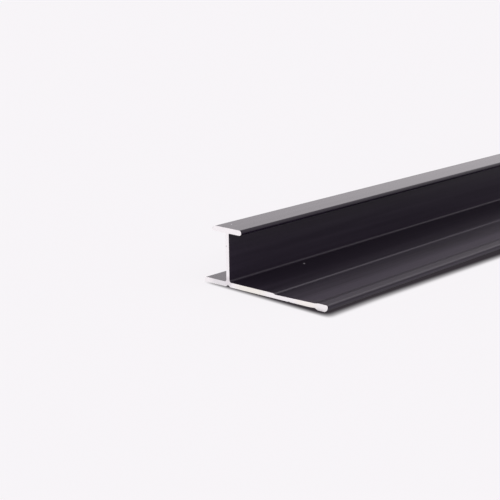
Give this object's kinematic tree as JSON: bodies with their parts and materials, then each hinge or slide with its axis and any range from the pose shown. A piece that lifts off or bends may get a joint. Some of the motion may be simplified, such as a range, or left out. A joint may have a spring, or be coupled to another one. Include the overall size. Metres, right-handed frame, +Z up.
{
  "type": "aluminium extrusion profile",
  "caption": "Length of black anodised aluminium H joint profile with a narrow cap, a thin web and a wide base flange with a stepped seat and an edge bead, for joining wall boards.",
  "frame": {"origin": "below the middle of the bounding box, on the plane that the edge bead rests on", "axes": "+X across the section from the short side of the base flange to the edge bead, +Y along the length away from the pictured end, +Z up from the base flange to the cap"},
  "size_m": [0.0328, 1, 0.0125],
  "materials": {
    "black_anodised": "satin black anodised along the length, bare bright aluminium on the sawn ends"
  },
  "bodies": {
    "root": {"h_trim_profile": "black_anodised"}
  },
  "joints": []
}
